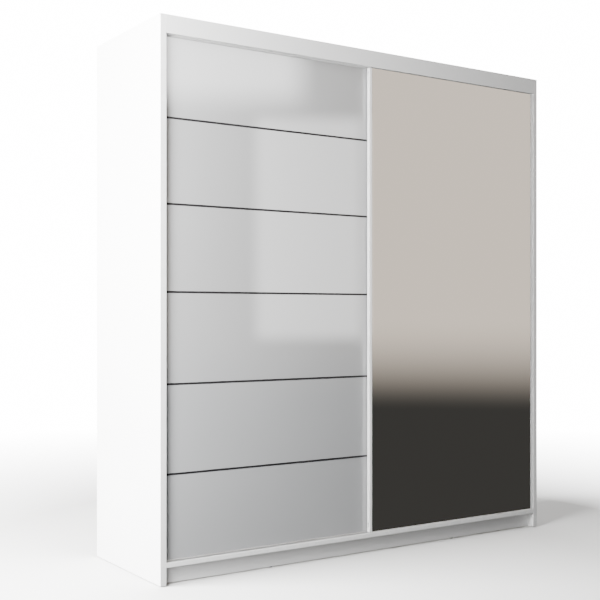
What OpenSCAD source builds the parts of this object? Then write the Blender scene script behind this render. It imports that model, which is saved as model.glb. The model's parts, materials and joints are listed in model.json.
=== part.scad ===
// Wardrobe with two sliding doors. A board carcass has a shelf bay on the left and a hanging bay on the
// right. Each door rolls in its own channel of a floor track and is guided in its own channel of a head
// track. The glass door runs behind the mirror door, and either door can cover either bay.
// Axes: +X to the right seen from the front, +Y to the back, +Z up. The origin is on the floor, in the
// middle of the footprint. Inside from_front(), y counts from the plane of the front edges.

/* [Overall] */
// Width over the side panels
width = 2000; // [1500:10:2600]
// Height from the floor to the top
height = 2150; // [1750:10:2600]
// Depth from the front edges to the rear edges
depth = 600; // [480:5:750]

/* [Carcass] */
// Thickness of the two side panels
side_t = 25; // [18:1:38]
// Thickness of the other carcass boards and of the shelves
board_t = 18; // [16:1:25]
// Thickness of the back sheets
back_t = 3; // [2.5:0.5:5]
// How far the back sheets sit in front of the rear edges
back_inset = 4; // [3:0.5:20]
// Width of the rebate in a side panel that takes the back sheet
rebate_w = 8; // [6:1:12]
// Thickness of the fascia in front of the head track
fascia_t = 16; // [12:1:25]
// Height of the fascia
fascia_h = 70; // [64:1:120]
// Thickness of the plinth boards
plinth_t = 16; // [15:1:25]
// Height of the bottom panel's underside above the floor
plinth_h = 70; // [55:1:150]
// How far the front plinth stands behind the front edges
plinth_setback = 35; // [20:1:80]
// How far the rear plinth stands in front of the back sheets
rear_plinth_setback = 12; // [0:1:60]
// Diameter of a floor glide
glide_d = 16; // [12:1:17]
// Thickness of a floor glide
glide_h = 3; // [2:0.5:6]

/* [Interior] */
// How far the shelves stand behind the partition's front edge
shelf_setback = 9; // [0:1:40]
// Gap at each end and behind an adjustable shelf
shelf_gap = 1; // [0.5:0.5:3]
// Clear height above the hat shelf
hat_space = 372; // [250:1:500]
// Distance from the hat shelf down to the axis of the hanging rail
rail_drop = 62; // [45:1:100]
// Outer diameter of the hanging rail
rail_d = 25; // [20:1:32]
// Wall of the hanging rail
rail_wall = 1.2; // [0.8:0.1:2]

/* [Doors] */
// How far the doors overlap in the middle when closed
overlap = 22; // [12:1:60]
// Gap between a closed door and its side panel
side_gap = 1; // [0.5:0.5:4]
// Thickness of a door over its stiles
door_t = 18; // [17:0.5:24]
// Gap between the two doors
door_gap = 4; // [4:0.5:8]
// How far the front door stands behind the front edges
front_gap = 2; // [1:0.5:8]
// Gap between the bottom panel and a door
foot_gap = 3; // [3:0.5:6]
// Gap between a door and the fascia
head_gap = 4; // [3:0.5:10]
// Thickness of the glass panes and of the mirror
glass_t = 4; // [3:0.5:6]
// Relative heights of the panes, from the lowest to the highest
pane_shares = [322, 339, 347, 331, 324, 307];

/* [Stiles and strips] */
// Width of a stile's front lip
lip_front = 12; // [10:0.5:20]
// Width of a stile's rear lip
lip_rear = 18; // [14:0.5:24]
// Thickness of the stile's lips
lip_t = 2; // [1.5:0.25:2.5]
// Thickness of the stile's side wall
stile_wall = 2.5; // [2.25:0.25:4]
// Width of the grip groove along the stile's outer face
groove_w = 2; // [1:0.5:4]
// Depth of the grip groove
groove_depth = 1; // [0.5:0.25:1.25]
// Distance from the stile's front face to the grip groove
groove_y = 3.5; // [2.5:0.5:5]
// Height of a divider strip's face
strip_h = 8; // [6:0.5:14]
// Thickness of a divider strip's face
strip_face_t = 1; // [0.5:0.25:1.5]
// Height of a divider strip's web between two panes
strip_web_t = 2; // [1:0.5:3]
// Gap between a pane and what it meets
pane_gap = 0.3; // [0.2:0.1:0.5]

/* [Door running gear] */
// Height of the door rails
rail_h = 40; // [36:1:60]
// Wall of the door rails
rail_t = 1.5; // [1:0.25:2]
// Side of the square port for the stile screws
port_w = 7; // [6.5:0.5:8]
// Thickness of the ledge that carries the glass
ledge_t = 1; // [0.8:0.1:1.5]
// Diameter of a floor roller
roller_d = 24; // [20:1:26]
// Width of a floor roller
roller_w = 5; // [4:0.5:5]
// Diameter of the roller axles and of the guide pins
axle_d = 4; // [3:0.5:5]
// Length of a roller housing
housing_l = 60; // [50:1:80]
// Distance from the door's edge to a roller housing
housing_inset = 20; // [18:1:40]
// Thickness of a housing's cheek beside its roller
cheek_t = 1; // [0.8:0.1:1.5]
// How far a housing reaches below its door
housing_drop = 1; // [0.8:0.1:1.2]
// Height of the adjusting screw above the door's lower edge
adjuster_z = 22; // [20:1:24]
// Height of a guide roller
guide_roller_h = 8; // [6:0.5:12]
// Distance from the door's edge to a guide roller's axis
guide_inset = 70; // [60:1:120]
// Width of a guide bracket
bracket_w = 40; // [34:1:60]
// How far a guide bracket's plate reaches down behind the top rail
bracket_lap = 30; // [24:1:34]

/* [Tracks] */
// Height of the head track
head_track_h = 40; // [34:1:46]
// Wall of the head track
head_track_wall = 1.5; // [1:0.25:2]
// Gap between the fascia and the head track
head_track_gap = 1; // [0:0.5:5]
// Gap between the head track and a guide bracket below it
bracket_gap = 4; // [2:0.5:6]
// Depth of the floor track's channels below the bottom panel's surface
channel_depth = 7; // [5:0.5:8]
// Thickness of the floor track's metal
floor_track_t = 1; // [0.8:0.1:1.2]
// How far the floor track's flange reaches past its outer channels
flange_reach = 4; // [2:0.5:8]
// Length of an end stop in the head track
stop_l = 30; // [20:1:40]

/* [Fittings] */
// Distance from the front edges to the front row of cam fittings
joint_front = 130; // [125:1:160]
// Distance from the back sheets to the rear row of cam fittings
joint_rear = 110; // [80:1:140]
// Distance between a cam fitting and its dowel
dowel_pitch = 32; // [32:1:40]
// Distance between a cam fitting and its dowel in a plinth
plinth_dowel_pitch = 19; // [16:1:20]
// Distance between the two wall fixing holes
wall_hole_spacing = 1100; // [800:10:1200]
// Diameter of the wall fixing holes
wall_hole_d = 6; // [5:0.5:8]
// Gap round a screw, pin, dowel or cam in its hole
fit_gap = 0.1; // [0.05:0.05:0.2]
// Gap round a turning roller's axle
running_gap = 0.05; // [0.02:0.01:0.1]
// Gap between a roller and the track it runs on
rolling_gap = 0.3; // [0.2:0.05:0.5]

/* [Hidden] */
$fn = 48;

// Carcass planes. x_in is the right side panel's inner face, z_deck the bottom panel's upper face,
// z_head the top panel's underside and y_back the front face of the back sheets.
x_in = width / 2 - side_t;
z_deck = plinth_h + board_t;
z_head = height - board_t;
z_fascia = height - fascia_h;
y_back = depth - back_inset - back_t;
half_board = board_t / 2;

// Doors. Door coordinates start at the door's lower left front corner.
inner_w = 2 * x_in;
door_w = (inner_w + overlap) / 2 - side_gap;
door_z = z_deck + foot_gap;
door_h = z_fascia - head_gap - door_z;
door_pitch = door_t + door_gap;
glass_door_corner = [-x_in + side_gap, front_gap + door_pitch, door_z];
mirror_door_corner = [x_in - side_gap - door_w, front_gap, door_z];
panel_y = lip_t + glass_t;
rear_lip_y = door_t - lip_t;
edge_gap = 1;

// Head track. The two channels are one door pitch apart.
head_track_y = fascia_t + head_track_gap;
head_channel_w = door_pitch - head_track_wall;
head_channel_y = [for (i = [0, 1]) head_track_y + head_track_wall + head_channel_w / 2 + i * door_pitch];
head_track_back = head_track_y + 2 * door_pitch + head_track_wall;
head_track_z = z_head - head_track_h;

// Floor rollers run on the floor of the channels, on the centre line of the bottom rail.
roller_y = (panel_y + door_t) / 2;
channel_floor = z_deck - channel_depth;
roller_z = channel_floor + rolling_gap + roller_d / 2 - door_z;
roller_side_gap = 0.5;
roller_clearance = 1;
floor_channel_w = roller_w + 2 * roller_clearance;
floor_channel_y = [for (i = [0, 1]) front_gap + roller_y + i * door_pitch];
floor_channel_outer = floor_channel_w / 2 + floor_track_t;
housing_w = roller_w + 2 * (roller_side_gap + cheek_t);
housing_top = rail_h - rail_t - port_w;
roller_x = housing_inset + housing_l / 2;

// Guide rollers turn on upright pins that stand in the head track's channels.
guide_y = head_channel_y[0] - front_gap;
guide_roller_d = head_channel_w - 2 * rolling_gap;
bracket_t = lip_t;
bracket_top = head_track_z - bracket_gap - door_z;
bracket_flange_y = guide_y + bracket_t + axle_d;
guide_collar_d = 2 * axle_d;
guide_roller_z = head_track_z + bracket_t - door_z;
pin_head_d = 7;
pin_head_h = 1.5;

// Panes and the strips between them
strip_slot = strip_web_t + 2 * pane_gap;
pane_z0 = ledge_t + pane_gap;
pane_total = door_h - pane_z0 - (len(pane_shares) - 1) * strip_slot;
function share_sum(n, i = 0) = i < n ? pane_shares[i] + share_sum(n, i + 1) : 0;
function pane_bottom(n) = pane_z0 + pane_total * share_sum(n) / share_sum(len(pane_shares)) + n * strip_slot;

// Interior. Each adjustable shelf is a node of its own, so their number is fixed.
shelf_count = 4;
partition_gap = 3.5;
partition_y = head_track_back + partition_gap;
shelf_y = partition_y + shelf_setback;
shelf_pitch = (z_head - z_deck - shelf_count * board_t) / (shelf_count + 1) + board_t;
function shelf_z(n) = z_deck + n * shelf_pitch - board_t;
pin_inset = 40;
pin_rows = [shelf_y + pin_inset, y_back - shelf_gap - pin_inset];
pin_d = 5;
pin_depth = 9;
pin_reach = 8;
pin_lug = [7, 6];
pin_hole_pitch = 32;
hat_z = z_head - hat_space - board_t;
rail_z = hat_z - rail_drop;
rail_y = (shelf_y + y_back) / 2;
rail_plate_t = 4;
rail_plate_d = 2 * rail_d;
rail_cup_l = 12;
rail_cup_wall = 3;

// Screws and nails: [place under the head, turn, length]. The shank points along the local -Z.
screw_d = 3.5;
screw_head_d = 7;
screw_head_h = 1.5;
nail_d = 1.4;
nail_head_d = 3;
nail_head_h = 1;
track_screw_count = 5;
track_screw_x = [for (i = [0:track_screw_count - 1])
    (i / (track_screw_count - 1) - 0.5) * (inner_w - 4 * guide_inset)];
floor_screw_y = (floor_channel_y[0] + floor_channel_y[1]) / 2;
stop_x = x_in - stop_l / 2;
stop_recess = 26;
stop_z = head_track_z + 2.5;
rail_screw_offset = (rail_plate_d / 2 + rail_d / 2 + rail_cup_wall) / 2;
wall_bracket_w = 30;
wall_bracket_l = 40;
wall_bracket_t = 2;
wall_hole_z = z_head - wall_bracket_l / 2 - wall_bracket_t;
wall_screw_y = y_back - 0.6 * wall_bracket_l;
strip_flange_w = 30;
strip_flange_t = 1;
strip_core_w = 6;
strip_back = y_back + back_t + strip_flange_t;
floor_screws = [for (x = track_screw_x) [[x, floor_screw_y, z_deck + floor_track_t], [0, 0, 0], 10]];
head_screws = [for (x = track_screw_x) for (y = head_channel_y)
    [[x, y, z_head - head_track_wall], [180, 0, 0], 14]];
stop_screws = [for (side = [-1, 1]) for (y = head_channel_y)
    [[side * stop_x, y, stop_z + stop_recess], [180, 0, 0], z_head - stop_z - stop_recess + 12]];
wall_screws = [for (side = [-1, 1])
    [[side * wall_hole_spacing / 2, wall_screw_y, z_head - wall_bracket_t], [180, 0, 0], 14]];
rail_screws = [for (side = [0, 1]) for (up = [-1, 1])
    [[side == 0 ? half_board + rail_plate_t : x_in - rail_plate_t, rail_y, rail_z + up * rail_screw_offset],
        [0, side == 0 ? 90 : -90, 0], 16]];
strip_screws = [for (i = [0:4])
    [[0, strip_back, z_deck + (0.05 + i * 0.225) * (z_head - z_deck)], [-90, 0, 0], 16]];
nail_x = [for (side = [-1, 1]) for (i = [0:3]) side * (60 + i * (x_in - 120) / 3)];
back_nails = [for (x = nail_x) for (z = [plinth_h + half_board, height - half_board])
    [[x, y_back + back_t, z], [-90, 0, 0], 18]];

// Door screws, in door coordinates. The rail screws, [x under the head, y, z], are sunk in the stile's
// wall. The adjusting screw has a socket for a hexagon key and stands in the end of its roller housing.
sunk = screw_head_h + fit_gap;
stile_screw_l = 30;
bottom_port_z = rail_h - rail_t - port_w / 2;
top_port_z = door_h - rail_h / 2;
top_rail_y = (panel_y + rear_lip_y) / 2;
stile_screw_places = [[sunk, roller_y, bottom_port_z], [sunk, top_rail_y, top_port_z]];
guide_screws = [for (side = [-1, 1])
    [[guide_inset + side * bracket_w / 4, door_t, door_h - rail_t - screw_head_d], [-90, 0, 0], 6]];
adjuster_d = 5;
adjuster_l = 18;
adjuster_head_d = 7.5;
adjuster_head_h = 4;
adjuster_key = 4;

// Cam fittings: [place on the joint plane, turn, thickness of the board with the cam, dowel distance].
// The local +X points into the board with the cam, and the cam's mouth faces the local +Z.
bolt_d = 6;
bolt_depth = 11;
bolt_bore_d = 8;
bolt_neck_d = 5;
bolt_head_d = 7;
cam_d = 15;
cam_h_min = 12.5;
cam_x = 24;
dowel_d = 8;
dowel_short = 10;
dowel_long = 20;
joint_y = [joint_front, y_back - joint_rear];
plinth_y = [plinth_setback + plinth_t / 2, y_back - rear_plinth_setback - plinth_t / 2];
plinth_mid = (glide_h + plinth_h) / 2;
top_joints = [for (y = joint_y) for (side = [-1, 1])
    [[side * x_in, y, height - half_board], [0, 0, side < 0 ? 0 : 180], board_t, dowel_pitch]];
bottom_joints = [for (y = joint_y) for (side = [-1, 1])
    [[side * x_in, y, plinth_h + half_board], [180, 0, side < 0 ? 0 : 180], board_t, dowel_pitch]];
partition_joints = [for (y = joint_y) for (end = [-1, 1])
    [[0, y, end < 0 ? z_deck : z_head], end < 0 ? [0, -90, 0] : [0, 90, 180], board_t, dowel_pitch]];
hat_joints = [for (y = joint_y) for (side = [-1, 1])
    [[side < 0 ? half_board : x_in, y, hat_z + half_board], [180, 0, side < 0 ? 0 : 180],
        board_t, dowel_pitch]];
plinth_joints = [for (y = plinth_y) for (side = [-1, 1])
    [[side * x_in, y, plinth_mid], side < 0 ? [-90, 0, 0] : [90, 0, 180], plinth_t, plinth_dowel_pitch]];
all_joints = concat(top_joints, bottom_joints, partition_joints, hat_joints, plinth_joints);

// Dowels without a cam: [place, turn], along the local X
fascia_dowel_count = 4;
fascia_dowels = [for (i = [1:fascia_dowel_count])
    [[((i - 0.5) / fascia_dowel_count - 0.5) * inner_w, fascia_t, height - half_board], [0, 0, 90]]];
support_dowels = [
    [[0, plinth_y[0] + plinth_t / 2, plinth_mid], [0, 0, 90]],
    [[0, plinth_y[1] - plinth_t / 2, plinth_mid], [0, 0, -90]],
];

// Floor glides, with the spike that holds each one
glide_spike_d = 2;
glide_spike_l = 12;
glide_places = concat(
    [for (side = [-1, 1]) for (y = [3 * glide_d, depth - 3 * glide_d]) [side * (x_in + side_t / 2), y]],
    [for (side = [-1, 1]) for (y = plinth_y) [side * x_in / 2, y]],
    [[0, (plinth_y[0] + plinth_y[1]) / 2]]);

// ---- Helpers ----

// Box between two opposite corners
module block(low, high) translate(low) cube(high - low);

module from_front() translate([0, -depth / 2, 0]) children();

module at_place(p) translate(p[0]) rotate(p[1]) children();

// Cylinder along the local X, from one x to another
module x_bar(d, from, to) translate([from, 0, 0]) rotate([0, 90, 0]) cylinder(d = d, h = to - from);

module in_glass_door() from_front() translate(glass_door_corner) children();

module in_mirror_door() from_front() translate(mirror_door_corner) children();

// A piece at the door's left end and its mirror image at the right end
module both_ends() {
    children();
    translate([door_w, 0, 0]) mirror([1, 0, 0]) children();
}

// ---- Fasteners ----

module screw(length, d = screw_d, head_d = screw_head_d, head_h = screw_head_h) {
    translate([0, 0, -length]) cylinder(d = d, h = length);
    cylinder(d = head_d, h = head_h);
}

module screw_holes(places, d = screw_d) {
    for (p = places) at_place(p) translate([0, 0, -p[2] - 1]) cylinder(d = d + 2 * fit_gap, h = p[2] + 2);
}

module dowel() x_bar(dowel_d, -dowel_short, dowel_long);

module dowel_hole() x_bar(dowel_d + 2 * fit_gap, -dowel_short - 1, dowel_long + 1);

// Holes in the board that the cam bolt is screwed into
module bolt_holes(joints) {
    for (j = joints) at_place(j) {
        x_bar(bolt_d + 2 * fit_gap, -bolt_depth - 1, 1);
        translate([0, j[3], 0]) dowel_hole();
    }
}

// Bores in the board that holds the cam
module cam_bores(joints) {
    for (j = joints) at_place(j) {
        translate([cam_x, 0, j[2] / 2 - cam_h(j[2]) - fit_gap])
            cylinder(d = cam_d + 2 * fit_gap, h = cam_h(j[2]) + 1);
        x_bar(bolt_bore_d, -1, cam_x);
        translate([0, j[3], 0]) dowel_hole();
    }
}

// Height of a cam from the face of a board of thickness t to under the head of its bolt
function cam_h(t) = max(cam_h_min, (t + bolt_head_d) / 2);

// Cam with a cross recess, and a pocket that grips the head of the bolt
module cam(t) {
    pocket = bolt_bore_d;
    slot = [8, 1.6, 2];
    difference() {
        translate([cam_x, 0, t / 2 - cam_h(t)]) cylinder(d = cam_d, h = cam_h(t));
        block([cam_x - cam_d, -pocket / 2, -cam_h(t)], [cam_x + pocket / 2, pocket / 2, pocket / 2]);
        for (turn = [0, 90])
            translate([cam_x, 0, t / 2]) rotate(turn) cube([slot[0], slot[1], 2 * slot[2]], center = true);
    }
}

module cam_bolt() {
    x_bar(bolt_d, -bolt_depth, 2);
    x_bar(bolt_neck_d, 1, cam_x);
    x_bar(bolt_head_d, cam_x, cam_x + 3);
}

// ---- Carcass boards ----

// Side panel with the holes that both sides share: side is -1 on the left and 1 on the right
module side_board(side, joints) {
    inner = side * x_in;
    outer = side * width / 2;
    rebate = side * (x_in + rebate_w);
    difference() {
        block([min(inner, outer), 0, glide_h], [max(inner, outer), depth, height]);
        block([min(inner, rebate), y_back, 0], [max(inner, rebate), depth + 1, height + 1]);
        bolt_holes([for (j = joints) if (j[0][0] == inner) j]);
        glide_holes();
    }
}

module glide_holes() {
    for (p = glide_places) translate([p[0], p[1], 0])
        cylinder(d = glide_spike_d + 2 * fit_gap, h = glide_h + glide_spike_l + 1);
}

// Rows of shelf pin holes that open towards +X or -X, one hole for each pin and one above and below it
module pin_holes(x, direction) {
    for (n = [1:shelf_count]) for (y = pin_rows) for (step = [-1, 0, 1])
        translate([x, y, shelf_z(n) - pin_lug[1] / 2 + step * pin_hole_pitch])
            rotate([0, -90 * direction, 0])
                translate([0, 0, -1]) cylinder(d = pin_d + 2 * fit_gap, h = pin_depth + 2, $fn = 24);
}

module side_panel_left() color("white") from_front() difference() {
    side_board(-1, all_joints);
    pin_holes(-x_in, 1);
}

module side_panel_right() color("white") from_front() difference() {
    side_board(1, all_joints);
    screw_holes(rail_screws);
}

module top_panel() color("white") from_front() difference() {
    block([-x_in, fascia_t, z_head], [x_in, y_back, height]);
    cam_bores(top_joints);
    bolt_holes([for (j = partition_joints) if (j[0][2] == z_head) j]);
    screw_holes(head_screws);
    screw_holes(stop_screws);
    screw_holes(wall_screws);
    screw_holes(back_nails, nail_d);
    for (p = fascia_dowels) at_place(p) dowel_hole();
}

module bottom_panel() color("white") from_front() difference() {
    block([-x_in, 0, plinth_h], [x_in, y_back, z_deck]);
    cam_bores(bottom_joints);
    bolt_holes([for (j = partition_joints) if (j[0][2] == z_deck) j]);
    screw_holes(floor_screws);
    screw_holes(back_nails, nail_d);
    for (y = floor_channel_y)
        block([-x_in - 1, y - floor_channel_outer, channel_floor - floor_track_t],
            [x_in + 1, y + floor_channel_outer, z_deck + 1]);
}

module centre_partition() color("white") from_front() difference() {
    block([-half_board, partition_y, z_deck], [half_board, y_back, z_head]);
    cam_bores(partition_joints);
    bolt_holes([for (j = hat_joints) if (j[0][0] == half_board) j]);
    screw_holes(rail_screws);
    screw_holes(strip_screws);
    pin_holes(-half_board, -1);
}

module top_fascia() color("white") from_front() difference() {
    block([-x_in, 0, z_fascia], [x_in, fascia_t, height]);
    for (p = fascia_dowels) at_place(p) dowel_hole();
}

module plinth_board(y) difference() {
    block([-x_in, y - plinth_t / 2, glide_h], [x_in, y + plinth_t / 2, plinth_h]);
    cam_bores([for (j = plinth_joints) if (j[0][1] == y) j]);
    for (p = support_dowels) at_place(p) dowel_hole();
    glide_holes();
}

module front_plinth() color("white") from_front() plinth_board(plinth_y[0]);

module rear_plinth() color("white") from_front() plinth_board(plinth_y[1]);

module plinth_support() color("white") from_front() difference() {
    block([-half_board, plinth_y[0] + plinth_t / 2, glide_h],
        [half_board, plinth_y[1] - plinth_t / 2, plinth_h]);
    for (p = support_dowels) at_place(p) dowel_hole();
    glide_holes();
}

// Back sheet of one bay, from the rebate to the joining strip
module back_sheet(side) {
    edge = 1;
    inner = side * (strip_core_w / 2 + pane_gap);
    outer = side * (x_in + rebate_w - edge);
    difference() {
        block([min(inner, outer), y_back, plinth_h + edge],
            [max(inner, outer), y_back + back_t, height - edge]);
        screw_holes(back_nails, nail_d);
        wall_holes();
    }
}

module wall_holes() {
    for (side = [-1, 1]) translate([side * wall_hole_spacing / 2, y_back - wall_bracket_l, wall_hole_z])
        rotate([-90, 0, 0]) cylinder(d = wall_hole_d, h = wall_bracket_l + back_t + 1);
}

module back_panel_left() color("gainsboro") from_front() back_sheet(-1);

module back_panel_right() color("gainsboro") from_front() back_sheet(1);

module back_joining_strip() color("white") from_front() difference() {
    union() {
        block([-strip_core_w / 2, y_back, z_deck - half_board],
            [strip_core_w / 2, strip_back, z_head + half_board]);
        block([-strip_flange_w / 2, y_back + back_t, z_deck - half_board],
            [strip_flange_w / 2, strip_back, z_head + half_board]);
    }
    screw_holes(strip_screws);
}

// ---- Tracks ----

module top_track() color("silver") from_front() difference() {
    block([-x_in, head_track_y, head_track_z], [x_in, head_track_back, z_head]);
    for (y = head_channel_y)
        block([-x_in - 1, y - head_channel_w / 2, head_track_z - 1],
            [x_in + 1, y + head_channel_w / 2, z_head - head_track_wall]);
    screw_holes(head_screws);
    screw_holes(stop_screws);
}

module track_stops() color("dimgray") from_front() difference() {
    for (side = [-1, 1]) for (y = head_channel_y)
        translate([side * stop_x - stop_l / 2, y - head_channel_w / 2, stop_z])
            cube([stop_l, head_channel_w, z_head - head_track_wall - stop_z]);
    screw_holes(stop_screws);
    for (p = stop_screws) at_place(p) cylinder(d = screw_head_d + 2 * fit_gap, h = stop_recess + 1);
}

module bottom_track() color("silver") from_front() difference() {
    union() {
        block([-x_in, floor_channel_y[0] - floor_channel_outer - flange_reach, z_deck],
            [x_in, floor_channel_y[1] + floor_channel_outer + flange_reach, z_deck + floor_track_t]);
        for (y = floor_channel_y)
            block([-x_in, y - floor_channel_outer, channel_floor - floor_track_t],
                [x_in, y + floor_channel_outer, z_deck + floor_track_t]);
    }
    for (y = floor_channel_y)
        block([-x_in - 1, y - floor_channel_w / 2, channel_floor],
            [x_in + 1, y + floor_channel_w / 2, z_deck + floor_track_t + 1]);
    screw_holes(floor_screws);
}

// ---- Interior ----

module hat_shelf() color("white") from_front() difference() {
    block([half_board, shelf_y, hat_z], [x_in, y_back - shelf_gap, hat_z + board_t]);
    cam_bores(hat_joints);
}

module shelf(n) color("white") from_front()
    block([-x_in + shelf_gap, shelf_y, shelf_z(n)],
        [-half_board - shelf_gap, y_back - shelf_gap, shelf_z(n) + board_t]);

module shelf_pin() {
    x_bar(pin_d, -pin_depth, 1, $fn = 24);
    block([0, -pin_lug[0] / 2, -pin_lug[1] / 2], [pin_reach, pin_lug[0] / 2, pin_lug[1] / 2]);
}

module shelf_pins() color("silver") from_front()
    for (n = [1:shelf_count]) for (y = pin_rows) {
        translate([-x_in, y, shelf_z(n) - pin_lug[1] / 2]) shelf_pin();
        translate([-half_board, y, shelf_z(n) - pin_lug[1] / 2]) mirror([1, 0, 0]) shelf_pin();
    }

module hanging_rail() color("lightgray") from_front()
    translate([half_board + rail_plate_t + 1, rail_y, rail_z]) rotate([0, 90, 0]) difference() {
        length = x_in - half_board - 2 * (rail_plate_t + 1);
        cylinder(d = rail_d, h = length);
        translate([0, 0, -1]) cylinder(d = rail_d - 2 * rail_wall, h = length + 2);
    }

// Round plate with a cup for the end of the hanging rail
module rail_support() difference() {
    union() {
        x_bar(rail_plate_d, 0, rail_plate_t);
        x_bar(rail_d + 2 * rail_cup_wall, 0, rail_plate_t + rail_cup_l);
    }
    x_bar(rail_d + 2 * fit_gap, rail_plate_t, rail_plate_t + rail_cup_l + 1);
}

module rail_supports() color("silver") from_front() difference() {
    union() {
        translate([half_board, rail_y, rail_z]) rail_support();
        translate([x_in, rail_y, rail_z]) mirror([1, 0, 0]) rail_support();
    }
    screw_holes(rail_screws);
}

// ---- Carcass fittings ----

module cam_fittings() color("silver") from_front()
    for (j = all_joints) at_place(j) {
        cam(j[2]);
        cam_bolt();
    }

module dowels() color("burlywood") from_front() {
    for (j = all_joints) at_place(j) translate([0, j[3], 0]) dowel();
    for (p = concat(fascia_dowels, support_dowels)) at_place(p) dowel();
}

module wall_brackets() color("silver") from_front() difference() {
    for (side = [-1, 1]) translate([side * wall_hole_spacing / 2 - wall_bracket_w / 2, y_back, z_head]) {
        block([0, -wall_bracket_t, -wall_bracket_l], [wall_bracket_w, 0, 0]);
        block([0, -wall_bracket_l, -wall_bracket_t], [wall_bracket_w, 0, 0]);
    }
    screw_holes(wall_screws);
    wall_holes();
}

module carcass_screws() color("silver") from_front() {
    for (p = concat(floor_screws, head_screws, stop_screws, wall_screws, rail_screws, strip_screws))
        at_place(p) screw(p[2]);
    for (p = back_nails) at_place(p) screw(p[2], nail_d, nail_head_d, nail_head_h);
}

module glides() color("dimgray") from_front()
    for (p = glide_places) translate([p[0], p[1], 0]) {
        cylinder(d = glide_d, h = glide_h);
        cylinder(d = glide_spike_d, h = glide_h + glide_spike_l);
    }

// ---- Door pieces, in door coordinates ----

module infill_board()
    block([stile_wall + edge_gap, panel_y, rail_h],
        [door_w - stile_wall - edge_gap, rear_lip_y, door_h - rail_h]);

module glass(z_low, z_high)
    block([stile_wall + edge_gap, lip_t, z_low], [door_w - stile_wall - edge_gap, panel_y, z_high]);

// Stile section, seen from above, with its outer face at x = 0
module stile_section() polygon([
    [0, 0], [lip_front, 0], [lip_front, lip_t], [stile_wall, lip_t], [stile_wall, rear_lip_y],
    [lip_rear, rear_lip_y], [lip_rear, door_t], [0, door_t], [0, groove_y + groove_w],
    [groove_depth, groove_y + groove_w], [groove_depth, groove_y], [0, groove_y],
]);

// Stile at the door's left end, with sunk holes for the rail screws and one for the adjusting key
module stile() difference() {
    linear_extrude(door_h) stile_section();
    for (p = stile_screw_places) translate(p) {
        x_bar(screw_head_d + 2 * fit_gap, -stile_wall - 1, 0);
        x_bar(screw_d + 2 * fit_gap, -1, stile_wall);
    }
    translate([0, roller_y, adjuster_z]) x_bar(adjuster_head_d, -1, stile_wall + 1);
}

module stile_right() translate([door_w, 0, 0]) mirror([1, 0, 0]) stile();

// Bottom rail: a channel open downwards, a ledge for the glass and a screw port under the web
module bottom_rail() {
    notch = lip_rear + edge_gap;
    difference() {
        union() {
            block([stile_wall, panel_y, 0], [door_w - stile_wall, door_t, rail_h]);
            block([stile_wall, lip_t, 0], [door_w - stile_wall, panel_y, ledge_t]);
        }
        difference() {
            block([0, panel_y + rail_t, -1], [door_w, door_t - rail_t, rail_h - rail_t]);
            block([0, roller_y - port_w / 2, bottom_port_z - port_w / 2],
                [door_w, roller_y + port_w / 2, rail_h]);
        }
        both_ends() block([0, rear_lip_y, -1], [notch, door_t + 1, rail_h + 1]);
        translate([0, roller_y, bottom_port_z]) x_bar(screw_d + 2 * fit_gap, -1, door_w + 1);
    }
}

// Top rail: a closed box with a screw port across its middle
module top_rail() difference() {
    block([stile_wall, panel_y, door_h - rail_h], [door_w - stile_wall, rear_lip_y, door_h]);
    for (side = [-1, 1]) {
        low = side < 0 ? door_h - rail_h + rail_t : top_port_z + port_w / 2;
        high = side < 0 ? top_port_z - port_w / 2 : door_h - rail_t;
        block([0, panel_y + rail_t, low], [door_w, rear_lip_y - rail_t, high]);
    }
    translate([0, top_rail_y, top_port_z]) x_bar(screw_d + 2 * fit_gap, -1, door_w + 1);
    both_ends() screw_holes(guide_screws);
}

module door_rails() {
    bottom_rail();
    top_rail();
}

// Roller housing with a pocket for the wheel and a threaded hole for the adjusting screw
module roller_housing() difference() {
    pocket_d = roller_d + 2 * roller_clearance;
    block([housing_inset, roller_y - housing_w / 2, -housing_drop],
        [housing_inset + housing_l, roller_y + housing_w / 2, housing_top]);
    translate([roller_x, roller_y - housing_w / 2 + cheek_t, roller_z])
        rotate([-90, 0, 0]) cylinder(d = pocket_d, h = housing_w - 2 * cheek_t);
    translate([roller_x, roller_y - housing_w, roller_z])
        rotate([-90, 0, 0]) cylinder(d = axle_d + 2 * fit_gap, h = 2 * housing_w);
    translate([0, roller_y, adjuster_z])
        x_bar(adjuster_d + 2 * fit_gap, housing_inset - 1, housing_inset + adjuster_l + 1);
}

module roller_housings() both_ends() roller_housing();

module roller_axle() translate([roller_x, roller_y - housing_w / 2, roller_z])
    rotate([-90, 0, 0]) cylinder(d = axle_d, h = housing_w);

// Adjusting screw with a hexagon socket that faces the door's edge
module adjusting_screw() translate([housing_inset, roller_y, adjuster_z]) difference() {
    union() {
        x_bar(adjuster_d, 0, adjuster_l);
        x_bar(adjuster_head_d, -adjuster_head_h, 0);
    }
    x_bar(adjuster_key, -adjuster_head_h - 1, -1, $fn = 6);
}

module door_fasteners() both_ends() {
    roller_axle();
    adjusting_screw();
    for (p = stile_screw_places) translate(p) rotate([0, -90, 0]) screw(stile_screw_l);
    for (p = guide_screws) at_place(p) screw(p[2]);
}

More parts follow.
